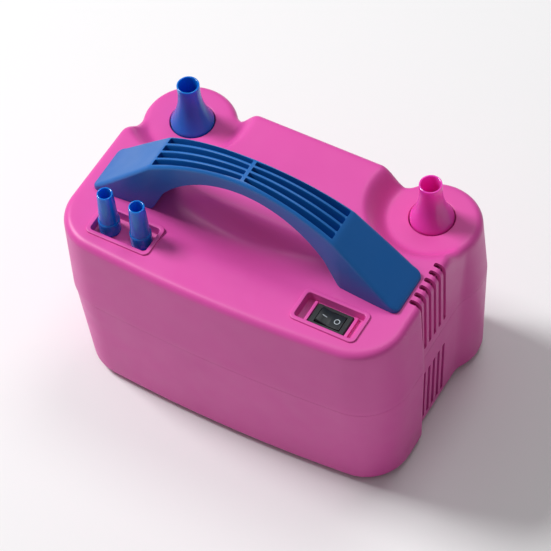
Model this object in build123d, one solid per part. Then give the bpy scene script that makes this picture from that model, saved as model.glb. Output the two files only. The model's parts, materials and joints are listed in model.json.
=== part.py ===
from build123d import *
import math
import os

# Twin-nozzle electric inflator.  Millimetres, +Z up, origin at the middle of the footprint on the floor.
# +X is the end with the switch and the always-on nozzle, -Y is the bowed front.

# ------------------------------------------------------------------ driving sizes of the case
WALL = 2.5
FOOT_HEIGHT = 2.5
SEAM_Z = 70.0
DECK_Z = 124.0
BASE_Z = FOOT_HEIGHT
FLOOR_Z = BASE_Z + WALL
ROOF_Z = DECK_Z - WALL
TOP_EDGE_RADIUS = 4.5
BASE_EDGE_RADIUS = 3.0
EDGE_STEPS = 4

NOZZLE_X = 76.0
NOZZLE_Y = 43.85
LOBE_X = 77.4
LOBE_Y = NOZZLE_Y - 1.0
BACK_Y = 57.3
FRONT_SAG = 5.5
STEP_Y = -22.0
STEP_RUN = 5.0

# one dictionary per level of the case: half length, end panel, front face, lobe radius, front corner
DECK_LEVEL = {"side": 104.5, "left": 103.9, "panel": 103.0, "front": 69.95, "lobe": 26.6, "corner": 28.0}
SEAM_LEVEL = {"side": 105.5, "left": 104.0, "panel": 101.5, "front": 70.95, "lobe": 28.7, "corner": 29.0}
BASE_LEVEL = {"side": 101.6, "left": 99.9, "panel": 97.3, "front": 67.0, "lobe": 25.2, "corner": 26.0}

PLATFORM_DROP = 12.0
PLATFORM_Z = DECK_Z - PLATFORM_DROP
PLATFORM_RADIUS = 25.5
RAMP_RADIUS = 36.5
NOZZLE_HOLE_RADIUS = 13.0
GUIDE_BOTTOM_Z = 96.0

SCOOP_LENGTH = 58.0
SCOOP_WIDTH = 21.0
SCOOP_DEPTH = 9.5
SCOOP_Y = -20.0
SCOOP_TILT = 20.0

RECESS_X = 63.7
RECESS_Y = -47.15
RECESS_SIZE = (35.0, 16.8)
RIM_SIZE = (40.0, 21.8)
RIM_CORNER = 3.5
RIM_HEIGHT = 1.0
RECESS_FLOOR_Z = DECK_Z - 5.0
LEDGE_REACH = (11.3, 13.2)
LEDGE_HEIGHT = 1.6

VENT_PITCH = 5.5
VENT_WIDTH = 2.8
VENT_COUNT = 6
VENT_MID_Y = -5.6
VENT_INNER_X = 96.6
RIGHT_VENT_Z = (77.5, DECK_Z + 2)
LEFT_VENT_Z = (77.5, DECK_Z - 12)
LOWER_VENT_Z = (9.0, 53.0)

# ------------------------------------------------------------------ handle
HANDLE_Y = -15.85
HANDLE_END_X = 95.1
HANDLE_RIB_X = 56.7
HANDLE_RIB_Z = DECK_Z + 37.2
HANDLE_CROWN_Z = DECK_Z + 52.5
HANDLE_UNDER_Z = DECK_Z + 42.0
HANDLE_HALF_WIDTHS = (9.4, 12.5, 15.1)
HANDLE_SHOULDER = (50.5, DECK_Z + 16.0)
HANDLE_INNER_X = 58.0
HANDLE_SLOT_DEPTH = 8.5
HANDLE_WALL = 2.2
HANDLE_RIB = 1.6
HANDLE_CORNER = 4.0

# ------------------------------------------------------------------ nozzles and adapters
TIP_RADIUS = 6.45
TIP_BORE_RADIUS = 5.4
TIP_LAND = 5.0
NOZZLE_BASE_RADIUS = 12.3
FLARE_POWER = 2.2
FLARE_STEPS = 8
SKIRT_BORE_RADIUS = 10.6
FLANGE_RADIUS = 15.4
FLANGE_Z = (92.0, 95.7)
PRESS_TOP_Z = DECK_Z + 18.8
AUTO_TOP_Z = DECK_Z + 17.1
PRESS_TRAVEL = 6.0
ADAPTER_OFFSET = 10.0
ADAPTER_HEIGHT = 31.3

# ------------------------------------------------------------------ press switch behind the nozzle
MICRO_X = (-57.0, -37.0)
MICRO_Y = (40.6, 47.0)
MICRO_Z = (72.0, 82.0)
LEVER_PIVOT = (-38.5, 84.0)
LEVER_LENGTH = 19.0
LEVER_RISE = 19.5

# ------------------------------------------------------------------ rocker switch
BEZEL_SIZE = (21.8, 14.6)
ROCKER_OPENING = (15.6, 10.0)
BEZEL_THICKNESS = 1.8
SWITCH_BODY = (18.8, 12.6, 12.5)
ROCKER_TILT = 8.0
BEZEL_Z = (RECESS_FLOOR_Z, RECESS_FLOOR_Z + BEZEL_THICKNESS)
ROCKER_AXIS_Z = RECESS_FLOOR_Z - 0.5

# ------------------------------------------------------------------ blower units
UNIT_X = 52.0
UNIT_Y = -5.0
SCROLL_RADIUS = 40.0
SCROLL_Z = (60.0, 84.0)
SCROLL_WALL = 2.0
IMPELLER_RADIUS = 34.5
IMPELLER_Z = (65.5, 79.0)
EYE_RADIUS = 15.0
SHAFT_RADIUS = 3.0
BEARING_CLEARANCE = 0.03
BEARING_RADIUS = 8.0
CORE_Z = (29.0, 49.5)
CORE_SIZE = (55.0, 49.0)
CORE_BORE_RADIUS = 15.6
ARMATURE_RADIUS = 15.0
COMMUTATOR_Z = (15.0, 24.0)
COMMUTATOR_RADIUS = 8.5
BRUSH_SIZE = 5.0
BRUSH_Z = 19.5
RISER_RADIUS = 9.8
RISER_BORE_RADIUS = 7.8
RISER_TOP_Z = 104.0
SPRING_SEAT_RADIUS = 12.7
DUCT_Z = (60.0, 74.0)
DUCT_HALF_WIDTH = 9.0
DUCT_JOINT_Y = 31.0
MOUNT_REACH = 34.2

# ------------------------------------------------------------------ screws, feet and cord inlet
SCREW_RADIUS = 1.45
CASE_SCREW_PLACES = [(88.0, -46.0), (-88.0, -46.0), (0.0, -60.0), (28.0, 48.0), (-28.0, 48.0)]
FOOT_PLACES = [(sx * x, y) for sx in (-1, 1) for x, y in ((72.0, -50.0), (82.0, 48.0))]
GROMMET_Z = 22.0
GROMMET_RADIUS = 6.0
GROMMET_BORE = 3.4

parts = {}


# ------------------------------------------------------------------ small helpers
def cylinder(x, y, z0, z1, radius):
    """Upright cylinder from z0 to z1."""
    return Pos(x, y, z0) * extrude(Circle(radius), z1 - z0)


def tube(x, y, z0, z1, outer, inner):
    """Upright tube from z0 to z1."""
    return Pos(x, y, z0) * extrude(Circle(outer) - Circle(inner), z1 - z0)


def block(x0, x1, y0, y1, z0, z1):
    """Box between two corners."""
    size = (x1 - x0, y1 - y0, z1 - z0)
    return Pos((x0 + x1) / 2, (y0 + y1) / 2, (z0 + z1) / 2) * Box(*size)


def turned(points, x=0.0, y=0.0):
    """Solid of revolution about an upright axis from (radius, z) points."""
    outline = Polyline(*[(r, 0, z) for r, z in points], close=True)
    return Pos(x, y, 0) * revolve(make_face(outline), Axis.Z)


# ------------------------------------------------------------------ case outline
def circle_angle(centre, radius, across):
    """Angle whose cosine reaches the coordinate across, seen from centre."""
    return math.degrees(math.acos((across - centre) / radius))


def case_outline(level, z, inset=0.0):
    """Closed face of the case at one height, moved inwards by inset.

    The right end steps in to a vent panel. The left end runs straight to its lobe.
    """
    side = level["side"] - inset
    left = level["left"] - inset
    panel = level["panel"] - inset
    front = -(level["front"] - inset)
    lobe = level["lobe"] - inset
    back = BACK_Y - inset
    start = -circle_angle(LOBE_X, lobe, panel)
    stop = 180 - math.degrees(math.asin((back - LOBE_Y) / lobe))
    right = [(side, front + FRONT_SAG), (side, STEP_Y), (panel, STEP_Y + STEP_RUN)]
    left_corner = (-left, front + FRONT_SAG)

    def on_lobe(angle):
        a = math.radians(angle)
        return (LOBE_X + lobe * math.cos(a), LOBE_Y + lobe * math.sin(a))

    lobe_in = on_lobe(start)
    lobe_mid = on_lobe((start + stop) / 2)
    lobe_out = on_lobe(stop)
    flip = lambda p: (-p[0], p[1])
    edges = [ThreePointArc(left_corner, (0, front), right[0])]
    chain = right + [lobe_in]
    edges += [Line(a, b) for a, b in zip(chain, chain[1:])]
    edges += [ThreePointArc(lobe_in, lobe_mid, lobe_out)]
    edges += [Line(lobe_out, flip(lobe_out))]
    edges += [ThreePointArc(flip(lobe_out), flip(lobe_mid), flip(lobe_in))]
    edges += [Line(flip(lobe_in), left_corner)]
    face = make_face(Curve() + edges).face()
    rounds = [
        (right[0], level["corner"] - inset),
        (left_corner, level["corner"] - inset),
        (right[1], 7.0),
        (right[2], 7.0 + inset),
        (lobe_in, 14.0 + inset),
        (flip(lobe_in), 14.0 + inset),
        (lobe_out, 7.0 + inset),
        (flip(lobe_out), 7.0 + inset),
    ]
    for point, radius in rounds:
        corner = face.vertices().sort_by_distance(Vector(*point))[0]
        face = face.fillet_2d(radius, [corner])
    return Pos(0, 0, z) * face


def mixed_level(low, high, share):
    """Level sizes part of the way from one level to another."""
    return {key: low[key] + share * (high[key] - low[key]) for key in low}


def edge_round(z, radius, toward):
    """(height, inset) pairs that round an edge which ends at height z."""
    steps = [math.radians(90 * i / EDGE_STEPS) for i in range(EDGE_STEPS + 1)]
    return [(z - toward * radius * (1 - math.sin(a)), radius * (1 - math.cos(a))) for a in steps]


def case_block(low, low_z, high, high_z, inset=0.0, rounded=()):
    """Solid of the case between two levels, with extra (height, inset) sections where it is rounded."""
    heights = [(low_z, 0.0), (high_z, 0.0)] if not rounded else list(rounded)
    faces = []
    for z, extra in sorted(heights):
        share = (z - low_z) / (high_z - low_z)
        faces.append(case_outline(mixed_level(low, high, share), z, inset + extra))
    return loft(faces, ruled=True)


def ramp_tool(sx, grow=0.0):
    """Turned tool that lowers a round platform and leaves a soft ramp round it."""
    z = PLATFORM_Z - grow
    top = DECK_Z + 5
    mid_r = (PLATFORM_RADIUS + RAMP_RADIUS) / 2 + grow / 2
    mid_z = (PLATFORM_Z + DECK_Z) / 2 - grow / 2
    inner = PLATFORM_RADIUS
    outer = RAMP_RADIUS + grow
    low = Spline((inner, 0, z), (mid_r, 0, mid_z), (outer, 0, DECK_Z), tangents=[(1, 0, 0), (1, 0, 0.25)])
    rest = Polyline((outer, 0, DECK_Z), (outer, 0, top), (0, 0, top), (0, 0, z), (inner, 0, z))
    face = make_face(Curve() + [low] + rest.edges())
    return Pos(sx * NOZZLE_X, NOZZLE_Y, 0) * revolve(face, Axis.Z)


def scoop_tool(grow=0.0):
    """Tilted ellipsoid that cuts the finger scoop under the handle."""
    size = (SCOOP_LENGTH + grow, SCOOP_WIDTH + grow, SCOOP_DEPTH + 6 + grow)
    ball = scale(Sphere(1), by=size)
    return Pos(0, SCOOP_Y, DECK_Z + 6) * Rot(-SCOOP_TILT, 0, 0) * ball


def vents(z_range, sx, inner_x):
    """Row of upright slots through one end panel."""
    cuts = []
    for i in range(VENT_COUNT):
        y = VENT_MID_Y + (i - (VENT_COUNT - 1) / 2) * VENT_PITCH
        x0, x1 = sorted((sx * inner_x, sx * 112.0))
        cuts.append(block(x0, x1, y - VENT_WIDTH / 2, y + VENT_WIDTH / 2, *z_range))
    return cuts


# ------------------------------------------------------------------ case shells
def make_top_shell():
    rounded = [(SEAM_Z, 0.0)] + edge_round(DECK_Z, TOP_EDGE_RADIUS, 1)
    outer = case_block(SEAM_LEVEL, SEAM_Z, DECK_LEVEL, DECK_Z, 0.0, rounded)
    cavity = case_block(SEAM_LEVEL, SEAM_Z, DECK_LEVEL, ROOF_Z, WALL)
    for sx in (-1, 1):
        outer -= ramp_tool(sx)
        cavity -= ramp_tool(sx, WALL)
    outer -= scoop_tool()
    cavity -= scoop_tool(WALL)
    shell = outer - cavity
    for sx in (-1, 1):
        x = sx * NOZZLE_X
        shell += tube(x, NOZZLE_Y, GUIDE_BOTTOM_Z, PLATFORM_Z - 1, NOZZLE_HOLE_RADIUS + 2, NOZZLE_HOLE_RADIUS)
        shell -= cylinder(x, NOZZLE_Y, GUIDE_BOTTOM_Z, DECK_Z, NOZZLE_HOLE_RADIUS)
        centre = Pos(sx * RECESS_X, RECESS_Y, 0)
        well_z = RECESS_FLOOR_Z - 2
        well_height = DECK_Z + RIM_HEIGHT - well_z
        well = Pos(0, 0, well_z) * extrude(RectangleRounded(*RIM_SIZE, RIM_CORNER), well_height)
        pocket = Pos(0, 0, RECESS_FLOOR_Z) * extrude(RectangleRounded(*RECESS_SIZE, 1.5), 9)
        shell = shell + centre * well - centre * pocket
        for cut in vents(RIGHT_VENT_Z if sx > 0 else LEFT_VENT_Z, sx, VENT_INNER_X):
            shell -= cut
        x0, x1 = sorted((RECESS_X + sx * LEDGE_REACH[0], RECESS_X + sx * LEDGE_REACH[1]))
        half_y = RECESS_SIZE[1] / 2 + 0.5
        z = RECESS_FLOOR_Z
        shell += block(x0, x1, RECESS_Y - half_y, RECESS_Y + half_y, z - 1, z + LEDGE_HEIGHT)
    shell -= block(*switch_window(), RECESS_FLOOR_Z - 4, RECESS_FLOOR_Z + 2)
    for peg_x in adapter_places():
        shell += cylinder(peg_x, RECESS_Y, RECESS_FLOOR_Z - 1, RECESS_FLOOR_Z + 9, 3.1)
    for x, y in CASE_SCREW_PLACES:
        shell += cylinder(x, y, SEAM_Z, ROOF_Z + 0.5, 4.0)
        shell -= cylinder(x, y, SEAM_Z - 1, ROOF_Z - 10, 1.5)
    for x, y in handle_screw_places():
        shell -= cylinder(x, y, ROOF_Z - 8, DECK_Z + 1, 1.9)
    return shell


def switch_window():
    half_x = SWITCH_BODY[0] / 2 + 0.1
    half_y = SWITCH_BODY[1] / 2 + 0.1
    return (RECESS_X - half_x, RECESS_X + half_x, RECESS_Y - half_y, RECESS_Y + half_y)


def adapter_places():
    return [-RECESS_X - ADAPTER_OFFSET, -RECESS_X + ADAPTER_OFFSET]


def handle_screw_places():
    return [(sx * 72.0, HANDLE_Y + dy) for sx in (-1, 1) for dy in (-6.0, 6.0)]


def make_bottom_shell():
    rounded = edge_round(BASE_Z, BASE_EDGE_RADIUS, -1) + [(SEAM_Z, 0.0)]
    outer = case_block(BASE_LEVEL, BASE_Z, SEAM_LEVEL, SEAM_Z, 0.0, rounded)
    shell = outer - case_block(BASE_LEVEL, FLOOR_Z, SEAM_LEVEL, SEAM_Z, WALL)
    for sx in (-1, 1):
        for cut in vents(LOWER_VENT_Z, sx, 90.0):
            shell -= cut
        for x, y in mount_places(sx):
            shell += cylinder(x, y, FLOOR_Z - 1, 52.0, 3.5)
    for x, y in CASE_SCREW_PLACES:
        shell += cylinder(x, y, FLOOR_Z - 1, SEAM_Z, 4.0)
        shell -= cylinder(x, y, 0, SEAM_Z + 1, 1.8)
        shell -= cylinder(x, y, 0, 10.0, 3.3)
    shell -= Pos(0, BACK_Y + 6, GROMMET_Z) * Rot(90, 0, 0) * extrude(Circle(GROMMET_RADIUS), 14)
    return shell


def make_rubber_feet():
    feet = []
    for x, y in FOOT_PLACES:
        pad = turned([(0, 0), (5.2, 0), (6.0, 0.8), (6.0, FOOT_HEIGHT), (0, FOOT_HEIGHT)], x, y)
        feet.append(pad)
    return Compound(children=feet)


def make_case_screws():
    screws = []
    for x, y in CASE_SCREW_PLACES:
        head = cylinder(x, y, 7.8, 9.9, 2.9)
        socket = block(x - 1.9, x + 1.9, y - 0.35, y + 0.35, 7.0, 8.8)
        socket += block(x - 0.35, x + 0.35, y - 1.9, y + 1.9, 7.0, 8.8)
        screws.append(head + cylinder(x, y, 9.8, 84.0, SCREW_RADIUS) - socket)
    return Compound(children=screws)


# ------------------------------------------------------------------ handle
def make_handle():
    side = Plane.XZ
    foot_lip = 1.6
    end = HANDLE_END_X
    top = [
        Line((-end, DECK_Z), (-end, DECK_Z + foot_lip)),
        Line((-end, DECK_Z + foot_lip), (-HANDLE_RIB_X, HANDLE_RIB_Z)),
        ThreePointArc((-HANDLE_RIB_X, HANDLE_RIB_Z), (0, HANDLE_CROWN_Z), (HANDLE_RIB_X, HANDLE_RIB_Z)),
        Line((HANDLE_RIB_X, HANDLE_RIB_Z), (end, DECK_Z + foot_lip)),
        Line((end, DECK_Z + foot_lip), (end, DECK_Z)),
    ]
    sx, sz = HANDLE_SHOULDER
    under = [
        Line((end, DECK_Z), (HANDLE_INNER_X, DECK_Z)),
        Line((HANDLE_INNER_X, DECK_Z), (sx, sz)),
        ThreePointArc((sx, sz), (0, HANDLE_UNDER_Z), (-sx, sz)),
        Line((-sx, sz), (-HANDLE_INNER_X, DECK_Z)),
        Line((-HANDLE_INNER_X, DECK_Z), (-end, DECK_Z)),
    ]
    arch = extrude(side * make_face(Curve() + top + under), 20, both=True)
    middle, rib, foot = HANDLE_HALF_WIDTHS
    flare = 0.08
    waist = [(-end, -foot), (-HANDLE_RIB_X, -rib), (0, -middle), (HANDLE_RIB_X, -rib), (end, -foot)]
    front_curve = Spline(*waist, tangents=[(1, flare), (1, -flare)])
    back_curve = Spline(*[(-px, -py) for px, py in waist], tangents=[(-1, -flare), (-1, flare)])
    ends = [Line((end, -foot), (end, foot)), Line((-end, foot), (-end, -foot))]
    plan = make_face(Curve() + [front_curve, ends[0], back_curve, ends[1]]).face()
    plan = plan.fillet_2d(HANDLE_CORNER, plan.vertices())
    handle = arch & (Pos(0, 0, DECK_Z - 1) * extrude(plan, 70))
    floor = extrude(side * make_face(Curve() + [
        ThreePointArc((-HANDLE_RIB_X, HANDLE_RIB_Z - HANDLE_SLOT_DEPTH),
                      (0, HANDLE_CROWN_Z - HANDLE_SLOT_DEPTH),
                      (HANDLE_RIB_X, HANDLE_RIB_Z - HANDLE_SLOT_DEPTH)),
        Line((HANDLE_RIB_X, HANDLE_RIB_Z - HANDLE_SLOT_DEPTH), (HANDLE_RIB_X, DECK_Z + 70)),
        Line((HANDLE_RIB_X, DECK_Z + 70), (-HANDLE_RIB_X, DECK_Z + 70)),
        Line((-HANDLE_RIB_X, DECK_Z + 70), (-HANDLE_RIB_X, HANDLE_RIB_Z - HANDLE_SLOT_DEPTH)),
    ]), 20, both=True)
    slots = 4
    x_in = 1.0
    x_out = HANDLE_RIB_X - 1.2
    for s in (-1, 1):
        for i in range(slots):
            corners = []
            for x, w in ((x_in, middle), (x_out, rib)):
                clear = 2 * (w - HANDLE_WALL) - (slots - 1) * HANDLE_RIB
                slot = clear / slots
                low = -(w - HANDLE_WALL) + i * (slot + HANDLE_RIB)
                corners.append((s * x, low, low + slot))
            (xa, a0, a1), (xb, b0, b1) = corners
            shape = make_face(Polyline((xa, a0), (xb, b0), (xb, b1), (xa, a1), close=True))
            handle -= (Pos(0, 0, DECK_Z) * extrude(shape, 70)) & floor
    handle = Pos(0, HANDLE_Y, 0) * handle
    for x, y in handle_screw_places():
        handle -= cylinder(x, y, DECK_Z - 1, DECK_Z + 14, 1.5)
    return handle


def make_handle_screws():
    screws = []
    for x, y in handle_screw_places():
        shank = cylinder(x, y, ROOF_Z - 0.1, DECK_Z + 13, SCREW_RADIUS)
        screws.append(cylinder(x, y, ROOF_Z - 2.2, ROOF_Z, 3.2) + shank)
    return Compound(children=screws)


# ------------------------------------------------------------------ nozzles
def flared(top_radius, base_radius, top_z, base_z):
    """Points down a trumpet curve that widens mostly near its base."""
    steps = [i / FLARE_STEPS for i in range(FLARE_STEPS + 1)]
    grow = base_radius - top_radius
    return [(top_radius + grow * t**FLARE_POWER, top_z - (top_z - base_z) * t) for t in steps]


def nozzle_points(top_z):
    """Outer and inner profile of a nozzle: straight tip, hollow flare, skirt with a flange below."""
    land = top_z - TIP_LAND
    flare = PLATFORM_Z + 1.0
    outer = [(TIP_RADIUS - 0.3, top_z), (TIP_RADIUS, top_z - 0.3)]
    outer += flared(TIP_RADIUS, NOZZLE_BASE_RADIUS, land, flare)
    outer += [(NOZZLE_BASE_RADIUS, FLANGE_Z[1]), (FLANGE_RADIUS, FLANGE_Z[1]), (FLANGE_RADIUS, FLANGE_Z[0])]
    inner = flared(TIP_BORE_RADIUS, SKIRT_BORE_RADIUS, land - 1.0, flare - 0.5)
    return outer + [(SKIRT_BORE_RADIUS, FLANGE_Z[0])] + inner[::-1] + [(TIP_BORE_RADIUS, top_z)]


def make_press_nozzle():
    body = turned(nozzle_points(PRESS_TOP_Z), -NOZZLE_X, NOZZLE_Y)
    tab = block(-NOZZLE_X + 13.0, -NOZZLE_X + 21.0, NOZZLE_Y - 3, NOZZLE_Y + 3, FLANGE_Z[0], FLANGE_Z[1])
    return body + tab


def make_auto_nozzle():
    return turned(nozzle_points(AUTO_TOP_Z), NOZZLE_X, NOZZLE_Y)


def make_nozzle_spring():
    wire = 0.7
    low = DUCT_Z[1] + wire
    high = FLANGE_Z[0] - wire - 0.1
    turns = 4
    radius = 11.7
    path = Helix((high - low) / turns, high - low, radius)
    section = Plane(origin=path @ 0, z_dir=path % 0) * Circle(wire)
    coil = sweep(section, path=path)
    return Pos(-NOZZLE_X, NOZZLE_Y, low) * coil


def make_nozzle_seals():
    rings = []
    for sx in (-1, 1):
        rings.append(Pos(sx * NOZZLE_X, NOZZLE_Y, RISER_TOP_Z - 3.0) * Torus(RISER_RADIUS - 0.2, 0.65))
    return Compound(children=rings)


def make_spare_adapter(x):
    """Reducing tube with a collar, standing on a peg of the recess."""
    low = RECESS_FLOOR_Z + 0.05
    high = low + ADAPTER_HEIGHT
    outer = [(4.3, high), (4.6, high - 0.3), (5.45, low + 9.4), (6.05, low + 8.8), (6.05, low)]
    inner = [(3.5, low), (3.5, high)]
    return turned(outer + inner, x, RECESS_Y)


# ------------------------------------------------------------------ press switch behind the nozzle
def make_microswitch():
    body = block(*MICRO_X, *MICRO_Y, *MICRO_Z)
    for x in (MICRO_X[0] + 3.5, MICRO_X[1] - 3.5):
        body -= Pos(x, MICRO_Y[1] + 1, MICRO_Z[0] + 2.8) * Rot(90, 0, 0) * extrude(Circle(1.2), 9)
    for x in (MICRO_X[0] + 2.0, -47.0, MICRO_X[1] - 2.0):
        body += block(x - 1.6, x + 1.6, 43.5, 44.1, MICRO_Z[0] - 5.0, MICRO_Z[0] + 0.5)
    px, pz = LEVER_PIVOT
    for y0, y1 in ((MICRO_Y[0], MICRO_Y[0] + 0.8), (MICRO_Y[1] - 0.8, MICRO_Y[1])):
        body += block(px - 1.5, px + 1.5, y0, y1, MICRO_Z[1] - 0.5, pz + 1.2)
    body -= Pos(px, MICRO_Y[1] + 1, pz) * Rot(90, 0, 0) * extrude(Circle(0.55), 9)
    body -= block(-43.0, -40.6, 42.4, 45.2, MICRO_Z[1] - 3.0, MICRO_Z[1] + 1)
    x0, x1 = MICRO_X[0] + 1, MICRO_X[1] - 1
    bracket = block(x0, x1, MICRO_Y[1], BACK_Y - WALL, MICRO_Z[0] + 1, MICRO_Z[0] + 3.5)
    return body + bracket


def make_microswitch_button():
    return block(-42.9, -40.7, 42.5, 45.1, MICRO_Z[1] - 1.6, MICRO_Z[1] + 2.5)


def make_microswitch_lever():
    px, pz = LEVER_PIVOT
    arm = block(-LEVER_LENGTH, -1.0, -2.0, 2.0, -0.3, 0.3)
    arm += Pos(-LEVER_LENGTH, 2.0, 0.2) * Rot(90, 0, 0) * extrude(Circle(0.9), 4.0)
    arm += block(-1.4, 0.6, -2.2, 2.2, -0.5, 0.5)
    arm += Pos(0, 3.1, 0) * Rot(90, 0, 0) * extrude(Circle(0.5), 6.2)
    return Pos(px, (MICRO_Y[0] + MICRO_Y[1]) / 2, pz) * Rot(0, LEVER_RISE, 0) * arm


# ------------------------------------------------------------------ rocker switch
def make_switch_housing():
    bezel = Pos(RECESS_X, RECESS_Y, BEZEL_Z[0]) * extrude(RectangleRounded(*BEZEL_SIZE, 1.2), BEZEL_THICKNESS)
    bezel = chamfer(bezel.faces().sort_by(Axis.Z)[-1].outer_wire().edges(), 0.6)
    width, depth, height = SWITCH_BODY
    body = Pos(RECESS_X, RECESS_Y, BEZEL_Z[0] - height) * extrude(RectangleRounded(width, depth, 0.8), height)
    well = Pos(RECESS_X, RECESS_Y, ROCKER_AXIS_Z - 5.5) * extrude(Rectangle(*ROCKER_OPENING), 12)
    pivot = Rot(90, 0, 0) * extrude(Circle(1.05), SWITCH_BODY[1])
    pivot = Pos(RECESS_X, RECESS_Y + SWITCH_BODY[1] / 2, ROCKER_AXIS_Z) * pivot
    return bezel + body - well - pivot


def make_rocker():
    """Rocker with two faces that meet in a shallow valley, resting with its far half raised."""
    half = ROCKER_OPENING[0] / 2 - 0.65
    depth = ROCKER_OPENING[1] / 2 - 0.3
    right_side = [(half, 3.9), (half, -1.2), (0, -3.4)]
    outline = Polyline((-half, -1.2), (-half, 3.9), (0, 2.5), *right_side, close=True)
    body = extrude(Plane.XZ * make_face(outline), depth, both=True)
    body = chamfer(body.edges().filter_by(Axis.Y).sort_by(Axis.Z)[-2:], 0.4)
    body += Pos(0, 5.8, 0) * Rot(90, 0, 0) * extrude(Circle(1.0), 11.6)
    return Pos(RECESS_X, RECESS_Y, ROCKER_AXIS_Z) * Rot(0, ROCKER_TILT, 0) * body


def make_switch_terminals():
    top = BEZEL_Z[0] - SWITCH_BODY[2]
    tab = block(-0.4, 0.4, -2.4, 2.4, top - 8.0, top)
    return Compound(children=[Pos(RECESS_X + dx, RECESS_Y, 0) * tab for dx in (-6, 0, 6)])


# ------------------------------------------------------------------ blower unit
def unit(sx):
    return sx * UNIT_X, UNIT_Y


def mount_places(sx):
    x, y = unit(sx)
    reach = MOUNT_REACH
    return [(x + reach, y), (x - reach, y), (x, y + reach), (x, y - reach)]


def duct_box(sx, y0, y1, z0, z1, shrink=0.0):
    x = sx * NOZZLE_X
    half = DUCT_HALF_WIDTH - shrink
    return block(x - half, x + half, y0, y1, z0 + shrink, z1 - shrink)


def make_scroll_housing(sx):
    x, y = unit(sx)
    z0, z1 = SCROLL_Z
    cup = tube(x, y, z0, z1, SCROLL_RADIUS, SCROLL_RADIUS - SCROLL_WALL)
    snout = duct_box(sx, 20.0, DUCT_JOINT_Y, *DUCT_Z) - cylinder(x, y, z0, z1, SCROLL_RADIUS - SCROLL_WALL)
    housing = cup + snout + cylinder(x, y, z0, z0 + SCROLL_WALL, SCROLL_RADIUS - 1)
    housing -= duct_box(sx, 10.0, DUCT_JOINT_Y + 1, *DUCT_Z, SCROLL_WALL)
    hub_z = CORE_Z[1] + 4.5
    housing += cylinder(x, y, hub_z, z0 + 1, BEARING_RADIUS + 2)
    housing -= cylinder(x, y, hub_z - 1, hub_z + 5.5, BEARING_RADIUS)
    housing -= cylinder(x, y, hub_z, z0 + 3, SHAFT_RADIUS + 1.5)
    return housing


def make_scroll_cover(sx):
    x, y = unit(sx)
    z = SCROLL_Z[1]
    cover = tube(x, y, z, z + 2, SCROLL_RADIUS, EYE_RADIUS)
    return cover + tube(x, y, z + 1.9, z + 5, EYE_RADIUS + 2, EYE_RADIUS)


def make_outlet_duct(sx):
    x = sx * NOZZLE_X
    box = duct_box(sx, DUCT_JOINT_Y, NOZZLE_Y + 11.0, *DUCT_Z)
    box -= duct_box(sx, DUCT_JOINT_Y - 1, NOZZLE_Y + 9.0, *DUCT_Z, SCROLL_WALL)
    duct = box + cylinder(x, NOZZLE_Y, DUCT_Z[1] - SCROLL_WALL, DUCT_Z[1], SPRING_SEAT_RADIUS)
    duct += tube(x, NOZZLE_Y, DUCT_Z[1] - 1, RISER_TOP_Z, RISER_RADIUS, RISER_BORE_RADIUS)
    duct -= cylinder(x, NOZZLE_Y, DUCT_Z[1] - 4, RISER_TOP_Z + 1, RISER_BORE_RADIUS)
    duct -= cylinder(*unit(sx), *SCROLL_Z, SCROLL_RADIUS)
    groove = Pos(x, NOZZLE_Y, RISER_TOP_Z - 3.0) * Torus(RISER_RADIUS - 0.2, 0.65)
    return duct - groove


def make_motor_bracket(sx):
    x, y = unit(sx)
    plate_z = (7.5, 10.5)
    ring = cylinder(x, y, *plate_z, 12.0)
    ring += block(x - 4, x + 4, y - 28.4, y + 28.4, *plate_z)
    ring += block(x - 26, x + 26, y - 4.5, y + 4.5, *plate_z)
    for side in (-1, 1):
        y0, y1 = sorted((y + side * 25.4, y + side * 28.4))
        ring += block(x - 4, x + 4, y0, y1, plate_z[0], SCROLL_Z[0])
        x0, x1 = sorted((x + side * 14.0, x + side * 24.0))
        ring += block(x0, x1, y - 4.5, y + 4.5, plate_z[0], BRUSH_Z - BRUSH_SIZE / 2 - 1)
    ring += cylinder(x, y, plate_z[0], 14.0, BEARING_RADIUS + 2)
    ring -= cylinder(x, y, 8.7, 15.0, BEARING_RADIUS)
    return ring


def make_motor_bearings(sx):
    x, y = unit(sx)
    upper = CORE_Z[1] + 4.5
    inner = SHAFT_RADIUS + BEARING_CLEARANCE
    rings = [tube(x, y, z, z + 5.0, BEARING_RADIUS, inner) for z in (8.7, upper + 0.5)]
    return Compound(children=rings)


def make_stator_core(sx):
    x, y = unit(sx)
    z0, z1 = CORE_Z
    stack = Pos(x, y, z0) * extrude(RectangleRounded(*CORE_SIZE, 5), z1 - z0)
    stack -= cylinder(x, y, z0, z1, CORE_BORE_RADIUS)
    for side in (-1, 1):
        x0, x1 = sorted((x + side * 13.0, x + side * 19.0))
        stack -= block(x0, x1, y - 15.5, y + 15.5, z0, z1)
    return stack


def make_field_coils(sx):
    x, y = unit(sx)
    z0, z1 = CORE_Z
    coils = []
    for side in (-1, 1):
        x0, x1 = sorted((x + side * 16.4, x + side * 18.6))
        ring = block(x0, x1, y - 15.2, y + 15.2, z0 - 4.0, z1 + 3.5)
        coils.append(ring - block(x0 - 1, x1 + 1, y - 10.0, y + 10.0, z0 + 2.0, z1 - 2.0))
    return Compound(children=coils)


def make_motor_shaft(sx):
    x, y = unit(sx)
    return cylinder(x, y, 9.0, SCROLL_Z[1] + 2.0, SHAFT_RADIUS)


def make_armature_core(sx):
    x, y = unit(sx)
    z0, z1 = CORE_Z
    core = tube(x, y, z0, z1, ARMATURE_RADIUS, SHAFT_RADIUS)
    for i in range(12):
        slot = Pos(x, y, 0) * Rot(0, 0, 30 * i) * block(9.5, 16.0, -0.9, 0.9, z0, z1)
        core -= slot
    return core


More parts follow.
